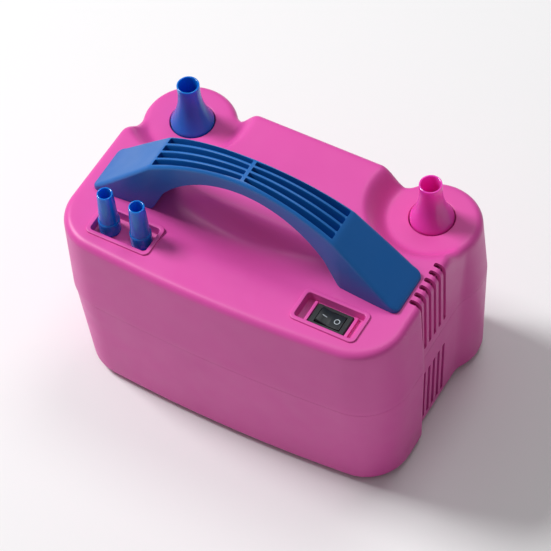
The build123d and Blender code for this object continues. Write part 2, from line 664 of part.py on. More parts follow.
def make_armature_winding(sx):
    x, y = unit(sx)
    z0, z1 = CORE_Z
    profile = [(5.0, 0.0), (13.8, 0.0), (13.2, 2.4), (11.5, 3.6), (6.5, 3.6), (5.0, 2.0)]
    upper = turned([(r, z1 + h) for r, h in profile], x, y)
    lower = turned([(r, z0 - h) for r, h in profile], x, y)
    return Compound(children=[upper, lower])


def make_commutator(sx):
    x, y = unit(sx)
    z0, z1 = COMMUTATOR_Z
    ring = tube(x, y, z0, z1, COMMUTATOR_RADIUS, SHAFT_RADIUS)
    for i in range(12):
        ring -= Pos(x, y, 0) * Rot(0, 0, 30 * i + 15) * block(7.7, 9.0, -0.25, 0.25, z0 - 1, z1 + 1)
    return ring


def make_brush_holders(sx):
    x, y = unit(sx)
    half = BRUSH_SIZE / 2
    holders = []
    for side in (-1, 1):
        x0, x1 = sorted((x + side * 11.0, x + side * 24.0))
        box = block(x0, x1, y - half - 1, y + half + 1, BRUSH_Z - half - 1, BRUSH_Z + half + 1)
        holders.append(box - block(x0 - 1, x1 + 1, y - half, y + half, BRUSH_Z - half, BRUSH_Z + half))
    return Compound(children=holders)


def make_carbon_brushes(sx):
    x, y = unit(sx)
    half = BRUSH_SIZE / 2
    brushes = []
    for side in (-1, 1):
        x0, x1 = sorted((x + side * 6.0, x + side * 19.0))
        bar = block(x0, x1, y - half, y + half, BRUSH_Z - half, BRUSH_Z + half)
        brushes.append(bar - cylinder(x, y, 10, 30, COMMUTATOR_RADIUS + 0.15))
    return Compound(children=brushes)


def make_impeller(sx):
    x, y = unit(sx)
    z0, z1 = IMPELLER_Z
    wheel = cylinder(x, y, z0, z0 + 1.5, IMPELLER_RADIUS) + cylinder(x, y, z0, z0 + 9.0, 7.0)
    blade_path = ThreePointArc((11.0, 0), (23.0, 4.2), (33.5, 13.0 * 0.6))
    blade = extrude(trace(blade_path, 1.2), z1 - z0 - 1)
    for i in range(9):
        wheel += Pos(x, y, z0 + 1) * Rot(0, 0, 40 * i) * blade
    return wheel - cylinder(x, y, z0 - 1, z1 + 1, SHAFT_RADIUS)


def make_impeller_nut(sx):
    x, y = unit(sx)
    z = IMPELLER_Z[0] + 9.0
    return Pos(x, y, z) * extrude(RegularPolygon(5.2, 6) - Circle(SHAFT_RADIUS), 4.0)


def make_vibration_mounts(sx):
    rings = []
    for x, y in mount_places(sx):
        rings.append(turned([(0, 52.0), (5.5, 52.0), (4.4, 56.0), (5.5, 60.0), (0, 60.0)], x, y))
    return Compound(children=rings)


# ------------------------------------------------------------------ mains inlet and terminals
def make_cord_grommet():
    ring = Circle(GROMMET_RADIUS) - Circle(GROMMET_BORE)
    flange = Circle(GROMMET_RADIUS + 2.2) - Circle(GROMMET_BORE)
    start = Pos(0, BACK_Y + 2.4, GROMMET_Z) * Rot(90, 0, 0)
    body = start * extrude(ring, 12)
    outer_flange = start * extrude(flange, 2.0)
    slot = case_block(BASE_LEVEL, BASE_Z, SEAM_LEVEL, SEAM_Z)
    return body + (outer_flange - slot)


def make_terminal_block():
    base = block(-13, 13, 26.0, 36.0, FLOOR_Z, FLOOR_Z + 12.0)
    for i in range(3):
        x = -8.5 + 8.5 * i
        base -= cylinder(x, 31.0, FLOOR_Z + 4.0, FLOOR_Z + 13, 2.0)
        base -= Pos(x, 37.0, FLOOR_Z + 5.0) * Rot(90, 0, 0) * extrude(Circle(1.6), 12)
    return base


# ------------------------------------------------------------------ build and write
parts["top_shell"] = make_top_shell()
parts["bottom_shell"] = make_bottom_shell()
parts["rubber_feet"] = make_rubber_feet()
parts["case_screws"] = make_case_screws()
parts["handle"] = make_handle()
parts["handle_screws"] = make_handle_screws()
parts["press_nozzle"] = make_press_nozzle()
parts["auto_nozzle"] = make_auto_nozzle()
parts["nozzle_spring"] = make_nozzle_spring()
parts["nozzle_seals"] = make_nozzle_seals()
for letter, place in zip("ab", adapter_places()):
    parts["spare_adapter_" + letter] = make_spare_adapter(place)
parts["microswitch"] = make_microswitch()
parts["microswitch_button"] = make_microswitch_button()
parts["microswitch_lever"] = make_microswitch_lever()
parts["switch_housing"] = make_switch_housing()
parts["rocker"] = make_rocker()
parts["switch_terminals"] = make_switch_terminals()
parts["cord_grommet"] = make_cord_grommet()
parts["terminal_block"] = make_terminal_block()
UNIT_PIECES = {
    "scroll_housing": make_scroll_housing,
    "scroll_cover": make_scroll_cover,
    "outlet_duct": make_outlet_duct,
    "motor_bracket": make_motor_bracket,
    "motor_bearings": make_motor_bearings,
    "stator_core": make_stator_core,
    "field_coils": make_field_coils,
    "motor_shaft": make_motor_shaft,
    "armature_core": make_armature_core,
    "armature_winding": make_armature_winding,
    "commutator": make_commutator,
    "brush_holders": make_brush_holders,
    "carbon_brushes": make_carbon_brushes,
    "impeller": make_impeller,
    "impeller_nut": make_impeller_nut,
    "vibration_mounts": make_vibration_mounts,
}
for label, sx in (("left", -1), ("right", 1)):
    for piece, make in UNIT_PIECES.items():
        parts[piece + "_" + label] = make(sx)

os.makedirs("parts", exist_ok=True)
for name, shape in parts.items():
    export_step(shape, "parts/" + name + ".step")
    print(name, round(shape.volume), "mm3")
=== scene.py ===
import bpy
import bmesh
import json
import math
import numpy as np
from mathutils import Matrix, Vector, geometry


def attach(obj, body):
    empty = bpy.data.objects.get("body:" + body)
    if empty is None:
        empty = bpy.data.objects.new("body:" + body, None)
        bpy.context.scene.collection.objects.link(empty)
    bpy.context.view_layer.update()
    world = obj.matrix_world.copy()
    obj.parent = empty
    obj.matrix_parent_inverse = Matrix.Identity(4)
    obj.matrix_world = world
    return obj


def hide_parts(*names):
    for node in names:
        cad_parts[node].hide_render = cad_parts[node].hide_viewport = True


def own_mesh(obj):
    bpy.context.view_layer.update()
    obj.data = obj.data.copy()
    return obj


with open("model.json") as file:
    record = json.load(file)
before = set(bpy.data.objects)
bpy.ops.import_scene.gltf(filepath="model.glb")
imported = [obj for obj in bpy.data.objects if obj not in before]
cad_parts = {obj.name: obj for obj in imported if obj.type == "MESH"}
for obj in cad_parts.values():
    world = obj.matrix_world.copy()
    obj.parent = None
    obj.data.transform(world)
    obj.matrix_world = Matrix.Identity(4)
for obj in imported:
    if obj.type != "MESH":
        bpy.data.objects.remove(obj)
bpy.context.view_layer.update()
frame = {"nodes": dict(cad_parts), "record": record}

nodes = frame["nodes"]
scene = bpy.context.scene
MM = 0.001

# Camera: where it stands in metres, where it points in degrees, its lens and sensor in millimetres.
CAMERA_PLACE = (0.64622, -0.94084, 1.57663)
CAMERA_AZIMUTH, CAMERA_ELEVATION, CAMERA_ROLL = 34.52, 52.94, -6.05
CAMERA_LENS, CAMERA_SENSOR = 222.14, 36.0
CAMERA_CLIP = (0.1, 20.0)
# Floor in metres, and the sky's strength at the horizon and overhead.
FLOOR_REACH, FLOOR_COLOUR, FLOOR_ROUGHNESS = 6.0, (0.86, 0.86, 0.865, 1), 0.9
SKY_STRENGTH = (0.06, 0.34)
# Round area lights: name, place in metres and power in watts.
LIGHT_TARGET, LIGHT_SIZE = (0, 0, 0.1), 0.8
LIGHTS = (("key", (-1.58, -0.1, 1.98), 53), ("top", (0.1, 0.7, 2.0), 8))


# ---------------------------------------------------------------- camera, floor and light
def add_camera():
    azimuth, elevation, roll = (math.radians(a) for a in (CAMERA_AZIMUTH, CAMERA_ELEVATION, CAMERA_ROLL))
    reach = math.cos(elevation)
    back = Vector((math.sin(azimuth) * reach, -math.cos(azimuth) * reach, math.sin(elevation)))
    level = Vector((math.cos(azimuth), math.sin(azimuth), 0))
    rise = back.cross(level)
    right = level * math.cos(roll) + rise * math.sin(roll)
    up = rise * math.cos(roll) - level * math.sin(roll)
    data = bpy.data.cameras.new("camera")
    data.lens = CAMERA_LENS
    data.sensor_width = CAMERA_SENSOR
    data.clip_start, data.clip_end = CAMERA_CLIP
    cam = bpy.data.objects.new("camera", data)
    scene.collection.objects.link(cam)
    turn = Matrix((right, up, back)).transposed()
    cam.matrix_world = Matrix.Translation(CAMERA_PLACE) @ turn.to_4x4()
    scene.camera = cam


def add_floor():
    mesh = bpy.data.meshes.new("floor")
    corners = [(sx * FLOOR_REACH, sy * FLOOR_REACH, 0) for sx, sy in ((-1, -1), (1, -1), (1, 1), (-1, 1))]
    mesh.from_pydata(corners, [], [(0, 1, 2, 3)])
    floor = bpy.data.objects.new("floor", mesh)
    scene.collection.objects.link(floor)
    mat, _, shader = base_material("floor_pale")
    shader.inputs["Base Color"].default_value = FLOOR_COLOUR
    shader.inputs["Roughness"].default_value = FLOOR_ROUGHNESS
    mesh.materials.append(mat)


def add_sky():
    """White sky that grows brighter from the horizon upwards."""
    world = bpy.data.worlds.new("world")
    scene.world = world
    world.use_nodes = True
    tree = world.node_tree
    sky = tree.nodes["Background"]
    sky.inputs["Color"].default_value = (1, 1, 1, 1)
    coords = tree.nodes.new("ShaderNodeTexCoord")
    axes = tree.nodes.new("ShaderNodeSeparateXYZ")
    ramp = tree.nodes.new("ShaderNodeMapRange")
    ramp.inputs["To Min"].default_value, ramp.inputs["To Max"].default_value = SKY_STRENGTH
    tree.links.new(coords.outputs["Generated"], axes.inputs["Vector"])
    tree.links.new(axes.outputs["Z"], ramp.inputs["Value"])
    tree.links.new(ramp.outputs["Result"], sky.inputs["Strength"])


def add_lights():
    for name, place, power in LIGHTS:
        data = bpy.data.lights.new(name, "AREA")
        data.shape = "DISK"
        data.size = LIGHT_SIZE
        data.energy = power
        light = bpy.data.objects.new(name, data)
        scene.collection.objects.link(light)
        light.location = place
        light.rotation_mode = "QUATERNION"
        light.rotation_quaternion = (Vector(LIGHT_TARGET) - Vector(place)).to_track_quat("-Z", "Y")


def add_stage():
    add_floor()
    add_sky()
    add_lights()
    scene.view_settings.view_transform = "Standard"
    scene.view_settings.look = "None"


# ---------------------------------------------------------------- materials
# Sockets of the mix node when it mixes colours.
MIX_FACTOR, MIX_A, MIX_B, MIX_RESULT = 0, 6, 7, 2
# The middle part of a noise's range, which holds nearly all of its values.
NOISE_LOW, NOISE_HIGH = 0.3, 0.7
# Noise scales for the colour and roughness of plastic and of metal, and metal's own change and grain.
PLASTIC_COLOUR_SCALE, PLASTIC_ROUGH_SCALE = 18, 60
METAL_COLOUR_SCALE, METAL_ROUGH_SCALE = 90, 250
METAL_CHANGE, METAL_GRAIN_SCALE, METAL_GRAIN_STRENGTH = 0.08, 900, 0.12
GRAIN_DISTANCE = 0.0002
def base_material(name):
    mat = bpy.data.materials.new(name)
    mat.use_nodes = True
    tree = mat.node_tree
    return mat, tree, tree.nodes["Principled BSDF"]


def noise_node(tree, scale, detail):
    coords = tree.nodes.new("ShaderNodeTexCoord")
    tex = tree.nodes.new("ShaderNodeTexNoise")
    tex.inputs["Scale"].default_value = scale
    tex.inputs["Detail"].default_value = detail
    tree.links.new(coords.outputs["Object"], tex.inputs["Vector"])
    return tex


def spread(tree, source, low, high):
    """Maps a noise's middle range to low..high."""
    ramp = tree.nodes.new("ShaderNodeMapRange")
    ramp.inputs["From Min"].default_value = NOISE_LOW
    ramp.inputs["From Max"].default_value = NOISE_HIGH
    ramp.inputs["To Min"].default_value = low
    ramp.inputs["To Max"].default_value = high
    tree.links.new(source, ramp.inputs["Value"])
    return ramp.outputs["Result"]


def mottle(tree, shader, colour, change, scale):
    """Slow colour variation round one colour."""
    tex = noise_node(tree, scale, detail=3.0)
    mix = tree.nodes.new("ShaderNodeMix")
    mix.data_type = "RGBA"
    dark = [c * (1 - change) for c in colour]
    light = [min(1.0, c * (1 + change)) for c in colour]
    mix.inputs[MIX_A].default_value = (*dark, 1)
    mix.inputs[MIX_B].default_value = (*light, 1)
    tree.links.new(spread(tree, tex.outputs["Fac"], 0.0, 1.0), mix.inputs[MIX_FACTOR])
    tree.links.new(mix.outputs[MIX_RESULT], shader.inputs["Base Color"])


def roughen(tree, shader, low, high, scale):
    tex = noise_node(tree, scale, detail=4.0)
    tree.links.new(spread(tree, tex.outputs["Fac"], low, high), shader.inputs["Roughness"])


def grain(tree, shader, scale, strength):
    tex = noise_node(tree, scale, detail=2.0)
    bump = tree.nodes.new("ShaderNodeBump")
    bump.inputs["Strength"].default_value = strength
    bump.inputs["Distance"].default_value = GRAIN_DISTANCE
    tree.links.new(tex.outputs["Fac"], bump.inputs["Height"])
    tree.links.new(bump.outputs["Normal"], shader.inputs["Normal"])


def plastic(name, colour, rough=(0.35, 0.45), change=0.03, grain_scale=1500, grain_strength=0.08, **sockets):
    mat, tree, shader = base_material(name)
    mottle(tree, shader, colour, change, PLASTIC_COLOUR_SCALE)
    roughen(tree, shader, *rough, PLASTIC_ROUGH_SCALE)
    grain(tree, shader, grain_scale, grain_strength)
    for key, value in sockets.items():
        shader.inputs[key.replace("_", " ")].default_value = value
    return mat


def metal(name, colour, rough=(0.25, 0.4)):
    mat, tree, shader = base_material(name)
    mottle(tree, shader, colour, METAL_CHANGE, METAL_COLOUR_SCALE)
    roughen(tree, shader, *rough, METAL_ROUGH_SCALE)
    grain(tree, shader, METAL_GRAIN_SCALE, METAL_GRAIN_STRENGTH)
    shader.inputs["Metallic"].default_value = 1.0
    return mat


pink = plastic("pink_shell", (0.72, 0.080, 0.390), (0.36, 0.46), Specular_IOR_Level=0.45)
pink_nozzle = plastic(
    "pink_nozzle", (0.95, 0.06, 0.46), (0.14, 0.2),
    Subsurface_Weight=0.7, Subsurface_Scale=0.007, Subsurface_Radius=(1.0, 0.25, 0.6),
)
blue_handle = plastic("blue_handle", (0.004, 0.125, 0.44), (0.38, 0.48), grain_strength=0.15)
blue_nozzle = plastic(
    "blue_nozzle", (0.004, 0.17, 0.62), (0.12, 0.2),
    Subsurface_Weight=0.6, Subsurface_Scale=0.004, Subsurface_Radius=(0.2, 0.6, 1.0), Specular_IOR_Level=0.4,
)
mark_white = plastic("mark_white", (0.50, 0.56, 0.60), (0.45, 0.6))
finish = {
    "case_pink": pink,
    "handle_blue": blue_handle,
    "nozzle_blue": blue_nozzle,
    "nozzle_pink": pink_nozzle,
    "black_plastic": plastic("black_plastic", (0.02, 0.02, 0.022), (0.45, 0.6)),
    "switch_black": plastic("switch_black", (0.012, 0.015, 0.016), (0.4, 0.5), grain_strength=0.2),
    "rocker_black": plastic("rocker_black", (0.013, 0.017, 0.02), (0.3, 0.4), Specular_IOR_Level=0.35),
    "white_plastic": plastic("white_plastic", (0.75, 0.75, 0.72), (0.45, 0.6)),
    "grey_plastic": plastic("grey_plastic", (0.09, 0.095, 0.10), (0.45, 0.6)),
    "red_plastic": plastic("red_plastic", (0.5, 0.02, 0.015), (0.35, 0.45)),
    "rubber": plastic("rubber", (0.018, 0.018, 0.018), (0.75, 0.9), 0.15, 900, 0.25),
    "steel": metal("steel", (0.56, 0.57, 0.58)),
    "spring_steel": metal("spring_steel", (0.62, 0.63, 0.64), (0.2, 0.3)),
    "laminations": metal("laminations", (0.16, 0.165, 0.18), (0.4, 0.55)),
    "copper": metal("copper", (0.66, 0.25, 0.12), (0.3, 0.45)),
    "bronze": metal("bronze", (0.50, 0.30, 0.11), (0.35, 0.5)),
    "brass_tabs": metal("brass_tabs", (0.72, 0.50, 0.18), (0.25, 0.4)),
    "carbon": plastic("carbon", (0.03, 0.03, 0.032), (0.6, 0.75)),
    "aluminium": metal("aluminium", (0.72, 0.73, 0.74), (0.3, 0.45)),
}


# ---------------------------------------------------------------- mesh helpers
SHARP_ANGLE = math.radians(35)
def add_piece(name, mesh, mat, body="case"):
    """Object from a mesh in millimetres, riding on a body."""
    mesh.transform(Matrix.Scale(MM, 4))
    mesh.materials.clear()
    mesh.materials.append(mat)
    mesh.shade_smooth()
    mesh.set_sharp_from_angle(angle=SHARP_ANGLE)
    piece = bpy.data.objects.new(name, mesh)
    scene.collection.objects.link(piece)
    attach(piece, body)
    return piece


def mesh_from(name, verts, faces):
    mesh = bpy.data.meshes.new(name)
    mesh.from_pydata([tuple(v) for v in verts], [], faces)
    mesh.update()
    return mesh


def loops_mesh(name, loops, close_ends=True):
    """Closed loops of equal length joined into a skin."""
    count = len(loops[0])
    verts = [p for loop in loops for p in loop]
    faces = []
    for row in range(len(loops) - 1):
        a, b = row * count, (row + 1) * count
        for i in range(count):
            j = (i + 1) % count
            faces.append((a + i, a + j, b + j, b + i))
    if close_ends:
        faces.append(tuple(reversed(range(count))))
        faces.append(tuple((len(loops) - 1) * count + i for i in range(count)))
    return mesh_from(name, verts, faces)


def lathe_mesh(name, profile, centre, steps, close=True):
    """Skin turned about an upright axis from (radius, z) points, joined back to its start if closed."""
    cx, cy = centre
    loops = []
    for r, z in profile:
        turns = [2 * math.pi * i / steps for i in range(steps)]
        loops.append([(cx + r * math.cos(t), cy + r * math.sin(t), z) for t in turns])
    if close:
        loops.append(loops[0])
    mesh = loops_mesh(name, loops, close_ends=False)
    return tidy(mesh)


def tidy(mesh):
    """Merges doubled points and turns every face outwards."""
    bm = bmesh.new()
    bm.from_mesh(mesh)
    bmesh.ops.remove_doubles(bm, verts=bm.verts, dist=1e-4)
    bmesh.ops.recalc_face_normals(bm, faces=bm.faces)
    bm.to_mesh(mesh)
    bm.free()
    return mesh


def with_modifiers(mesh, build):
    """Mesh after the modifiers that build adds to a scratch object."""
    scratch = bpy.data.objects.new("scratch", mesh)
    scene.collection.objects.link(scratch)
    helpers = build(scratch) or []
    bpy.context.view_layer.update()
    graph = bpy.context.evaluated_depsgraph_get()
    result = bpy.data.meshes.new_from_object(scratch.evaluated_get(graph))
    for helper in [scratch] + helpers:
        bpy.data.objects.remove(helper)
    return result


def cut(mesh, cutter):
    """Mesh less a closed cutter mesh."""
    def build(scratch):
        tool = bpy.data.objects.new("tool", cutter)
        scene.collection.objects.link(tool)
        mod = scratch.modifiers.new("cut", "BOOLEAN")
        mod.operation = "DIFFERENCE"
        mod.solver = "EXACT"
        mod.object = tool
        return [tool]
    return with_modifiers(mesh, build)


def joined(name, meshes):
    bm = bmesh.new()
    for mesh in meshes:
        bm.from_mesh(mesh)
    result = bpy.data.meshes.new(name)
    bm.to_mesh(result)
    bm.free()
    return result


def bevelled(mesh, offset, segments):
    """Mesh with all its edges rounded."""
    bm = bmesh.new()
    bm.from_mesh(mesh)
    bmesh.ops.bevel(bm, geom=bm.edges, offset=offset, segments=segments, profile=0.5, affect="EDGES")
    bm.to_mesh(mesh)
    bm.free()
    return mesh


def box_mesh(name, low, high, bevel, segments=3):
    """Box between two corners, with rounded edges."""
    bm = bmesh.new()
    bmesh.ops.create_cube(bm, size=1.0)
    size = Vector(high) - Vector(low)
    centre = (Vector(high) + Vector(low)) / 2
    bmesh.ops.scale(bm, vec=size, verts=bm.verts)
    bmesh.ops.translate(bm, vec=centre, verts=bm.verts)
    bmesh.ops.bevel(bm, geom=bm.edges, offset=bevel, segments=segments, profile=0.5, affect="EDGES")
    mesh = bpy.data.meshes.new(name)
    bm.to_mesh(mesh)
    bm.free()
    return mesh


# ---------------------------------------------------------------- case outline, in millimetres as in the CAD
SEAM_Z, DECK_Z, PLATFORM_Z = 70.0, 124.0, 112.0
NOZZLE_X, NOZZLE_Y = 76.0, 43.85
LOBE_X, LOBE_Y, BACK_Y = 77.4, 42.85, 57.3
FRONT_SAG, STEP_Y, STEP_RUN = 5.5, -22.0, 5.0
DECK = {"side": 104.5, "left": 103.9, "panel": 103.0, "front": 69.95, "lobe": 26.6, "corner": 28.0}
SEAM = {"side": 105.5, "left": 104.0, "panel": 101.5, "front": 70.95, "lobe": 28.7, "corner": 29.0}
# Radii of the hollow between end and lobe, of the notch between lobe and back, and of the step's outer edge.
HOLLOW_RADIUS, NOTCH_RADIUS, STEP_RADIUS = 14.0, 7.0, 7.0
# Points along each part of the outline. The stepped side has as many as the straight one in all.
FRONT_POINTS, CORNER_POINTS, HOLLOW_POINTS, LOBE_POINTS, STRAIGHT_POINTS = 30, 18, 10, 48, 36
STEP_POINTS, BEFORE_STEP_POINTS, ON_STEP_POINTS = 6, 8, 2
AFTER_STEP_POINTS = STRAIGHT_POINTS - 2 * STEP_POINTS - BEFORE_STEP_POINTS - ON_STEP_POINTS


def arc(centre, radius, start, stop, count):
    """Points along an arc, without its last one."""
    angles = [start + (stop - start) * i / count for i in range(count)]
    return [(centre[0] + radius * math.cos(a), centre[1] + radius * math.sin(a)) for a in angles]


def run(start, stop, count):
    """Points along a straight line, without its last one."""
    (x0, y0), (x1, y1) = start, stop
    return [(x0 + (x1 - x0) * i / count, y0 + (y1 - y0) * i / count) for i in range(count)]


def bend(before, corner, after, radius, count):
    """Arc that rounds a corner between two straight lines: (first point, points, last point)."""
    a = (Vector(before) - Vector(corner)).normalized()
    b = (Vector(after) - Vector(corner)).normalized()
    half = a.angle(b) / 2
    first = Vector(corner) + a * (radius / math.tan(half))
    last = Vector(corner) + b * (radius / math.tan(half))
    centre = Vector(corner) + (a + b).normalized() * (radius / math.sin(half))
    start = math.atan2(first.y - centre.y, first.x - centre.x)
    sweep = math.atan2(last.y - centre.y, last.x - centre.x) - start
    sweep = (sweep + math.pi) % (2 * math.pi) - math.pi
    return first, arc(centre, radius, start, start + sweep, count), last


def half_outline(level, inset, side, stepped):
    """Right half of the case's outline, from the middle of the front round to the middle of the back."""
    side, panel = side - inset, level["panel"] - inset
    front, back, lobe = -(level["front"] - inset), BACK_Y - inset, level["lobe"] - inset
    corner, hollow, notch = level["corner"] - inset, HOLLOW_RADIUS + inset, NOTCH_RADIUS + inset
    big = (side**2 + FRONT_SAG**2) / (2 * FRONT_SAG)
    mid = (0.0, front + big)
    corner_x = side - corner
    corner_y = mid[1] - math.sqrt((big - corner) ** 2 - corner_x**2)
    meet = math.atan2(corner_y - mid[1], corner_x)
    points = arc(mid, big, -math.pi / 2, meet, FRONT_POINTS)
    points += arc((corner_x, corner_y), corner, meet, 0.0, CORNER_POINTS)
    hollow_y = LOBE_Y - math.sqrt((lobe + hollow) ** 2 - (panel + hollow - LOBE_X) ** 2)
    if stepped:
        ends = [(side, corner_y), (side, STEP_Y), (panel, STEP_Y + STEP_RUN), (panel, hollow_y)]
        first, outer, last = bend(*ends[:3], STEP_RADIUS, STEP_POINTS)
        points += run(ends[0], first, BEFORE_STEP_POINTS) + outer
        first, inner, after = bend(*ends[1:], notch, STEP_POINTS)
        points += run(last, first, ON_STEP_POINTS) + inner + run(after, ends[3], AFTER_STEP_POINTS)
    else:
        points += run((side, corner_y), (panel, hollow_y), STRAIGHT_POINTS)
    dip = (panel + hollow, hollow_y)
    to_dip = math.atan2(hollow_y - LOBE_Y, panel + hollow - LOBE_X)
    points += arc(dip, hollow, math.pi, math.pi + to_dip, HOLLOW_POINTS)
    notch_x = LOBE_X - math.sqrt((lobe + notch) ** 2 - (back + notch - LOBE_Y) ** 2)
    to_notch = math.atan2(back + notch - LOBE_Y, notch_x - LOBE_X)
    points += arc((LOBE_X, LOBE_Y), lobe, to_dip, to_notch, LOBE_POINTS)
    points += arc((notch_x, back + notch), notch, to_notch - math.pi, -math.pi / 2, HOLLOW_POINTS)
    points += run((notch_x, back), (0.0, back), STRAIGHT_POINTS)
    return points


def outline(level, inset):
    """Whole outline of the case at one level, moved in by the inset."""
    right = half_outline(level, inset, level["side"], True)
    left = half_outline(level, inset, level["left"], False)
    middle = [(0.0, BACK_Y - inset)]
    return np.array(right + middle + [(-x, y) for x, y in reversed(left[1:])])


# ---------------------------------------------------------------- top shell
SCOOP_Y, SCOOP_FRONT, SCOOP_BACK = -19.0, 27.0, 15.0
SCOOP_HALF_LENGTH, SCOOP_DEPTH, SCOOP_END_POWER = 60.0, 10.0, 1.2
RAMP_START, RAMP_RUN = 24.0, 14.5
HOLE_RADIUS, HOLE_POINTS = 13.4, 72
RECESS = (63.7, -47.15)
RIM_HALF = (20.0, 10.9)
# Wall of the shell, the round along the deck's edge, and the inset of the outline inside it.
WALL, EDGE_ROUND, EDGE_INSET, EDGE_STEPS = 2.3, 4.6, 4.0, 8
# Points of the deck: rings round each nozzle, and a grid of even triangles elsewhere.
RINGS = [16.5, 18.6, 20.7, 22.6, 24.2] + [25.4 + 1.2 * i for i in range(12)]
RING_SPACING, RING_REACH = 2.0, 39.6
GRID_STEP, GRID_ROW, GRID_X, GRID_Y = 2.4, 0.866, 106.0, (-72.0, 58.0)
CLEAR_OF_RIM, CLEAR_OF_HOLE, JOIN_DISTANCE = 1.3, 1.06, 1e-5
# Share of the wall's height and inset of each row of its points. The first rows round the seam.
WALL_ROWS = [(0.0, 0.1), (0.003, 0.03), (0.006, 0.0)] + [(0.006 + 0.994 * i / 10, 0.0) for i in range(1, 11)]
# Vent slots: side of the case and top of each group, and what all slots share.
VENT_GROUPS = ((1, 128.0), (-1, 112.0))
VENT_COUNT, VENT_PITCH, VENT_HALF, VENT_Y, VENT_LOW = 6, 5.5, 1.4, -5.6, 77.5
VENT_X, VENT_BEVEL = (96.6, 112.0), 1.0
# Plates behind the vents: side and top of each, and a lid over the right one's slots.
BAFFLES = ((1, 120.5), (-1, 111.0))
BAFFLE_X, BAFFLE_Y, BAFFLE_LOW, BAFFLE_BEVEL = (98.8, 99.8), (-22.0, 11.0), 76.0, 0.3
LID_X, LID_Z = (94.5, 99.8), (118.6, 119.6)
# Rim and walls of a recess: inset, height over the deck and corner radius of each loop.
RECESS_PATH = [
    (0.0, -1.5, 3.5), (0.0, 0.55, 3.5), (0.1, 0.82, 3.4), (0.3, 0.96, 3.2),
    (0.6, 1.0, 3.0), (1.9, 1.0, 2.2), (2.15, 0.95, 2.1), (2.32, 0.8, 2.0),
    (2.4, 0.5, 2.0), (2.5, -4.6, 1.9), (2.65, -4.9, 1.8), (3.0, -5.0, 1.6),
]
# How far the deck's hole lies inside the rim, and its corner radius. Then the switch's window in the floor.
RIM_BITE, RIM_HOLE_CORNER = 1.0, 2.5
SWITCH_WINDOW, WINDOW_CORNER, WINDOW_DEPTHS = (9.5, 6.4), 0.8, (5.0, 8.0)
# Sleeve that guides a nozzle: (radius, z).
GUIDE = [
    (HOLE_RADIUS, 112.0), (13.15, 111.93), (12.98, 111.75), (12.9, 111.5), (12.9, 96.2), (13.1, 96.0),
    (15.3, 96.0), (15.5, 96.2), (15.5, 110.5),
]
# Ledges beside the switch, and the pegs of the spare adapters: (radius, z).
LEDGE_X, LEDGE_HALF_Y, LEDGE_Z, LEDGE_BEVEL = (11.3, 13.2), 7.8, (118.0, 120.6), 0.35
PEGS, PEG_POINTS = (-10.0, 10.0), 32
PEG_PROFILE = [(0.01, 128.0), (2.6, 128.0), (3.0, 127.7), (3.1, 127.3), (3.1, 118.5)]
def smooth_step(t):
    """Eases from 0 to 1."""
    t = np.clip(t, 0.0, 1.0)
    return t * t * (3 - 2 * t)


def deck_height(x, y):
    """Height of the deck: flat, with a low platform round each nozzle and a finger scoop under the handle."""
    height = np.full(np.shape(x), DECK_Z)
    for sx in (-1, 1):
        r = np.hypot(x - sx * NOZZLE_X, y - NOZZLE_Y)
        ramp = PLATFORM_Z + (DECK_Z - PLATFORM_Z) * smooth_step((r - RAMP_START) / RAMP_RUN)
        height = np.minimum(height, ramp)
    reach = np.where(y < SCOOP_Y, SCOOP_FRONT, SCOOP_BACK)
    across = np.clip(np.abs(y - SCOOP_Y) / reach, 0, 1)
    along = np.clip(np.abs(x) / SCOOP_HALF_LENGTH, 0, 1)
    dip = np.cos(across * math.pi / 2) ** 2 * np.cos(along * math.pi / 2) ** SCOOP_END_POWER
    return height - SCOOP_DEPTH * dip

def inside(points, polygon):
    """Whether each point lies in a closed polygon."""
    hit = np.zeros(len(points), bool)
    for (ax, ay), (bx, by) in zip(polygon, np.roll(polygon, -1, axis=0)):
        crosses = (ay > points[:, 1]) != (by > points[:, 1])
        if ay != by:
            hit ^= crosses & (points[:, 0] < (bx - ax) * (points[:, 1] - ay) / (by - ay) + ax)
    return hit


def deck_seeds(rim):
    """Points spread over the deck, in rings round each nozzle and a fine grid elsewhere."""
    seeds = []
    for sx in (-1, 1):
        for r in RINGS:
            count = int(2 * math.pi * r / RING_SPACING)
            turn = np.arange(count) * 2 * math.pi / count
            seeds.append(np.stack([sx * NOZZLE_X + r * np.cos(turn), NOZZLE_Y + r * np.sin(turn)], axis=1))
    rows = np.arange(*GRID_Y, GRID_STEP * GRID_ROW)
    for k, y in enumerate(rows):
        x = np.arange(-GRID_X, GRID_X, GRID_STEP) + (k % 2) * GRID_STEP / 2
        row = np.stack([x, np.full(len(x), y)], axis=1)
        clear = np.ones(len(x), bool)
        for sx in (-1, 1):
            clear &= np.hypot(x - sx * NOZZLE_X, y - NOZZLE_Y) > RING_REACH
        seeds.append(row[clear])
    seeds = np.concatenate(seeds)
    seeds = seeds[inside(seeds, rim)]
    apart = seeds[:, None] - rim[None]
    near = np.min(np.hypot(apart[..., 0], apart[..., 1]), axis=1)
    return seeds[near > CLEAR_OF_RIM]


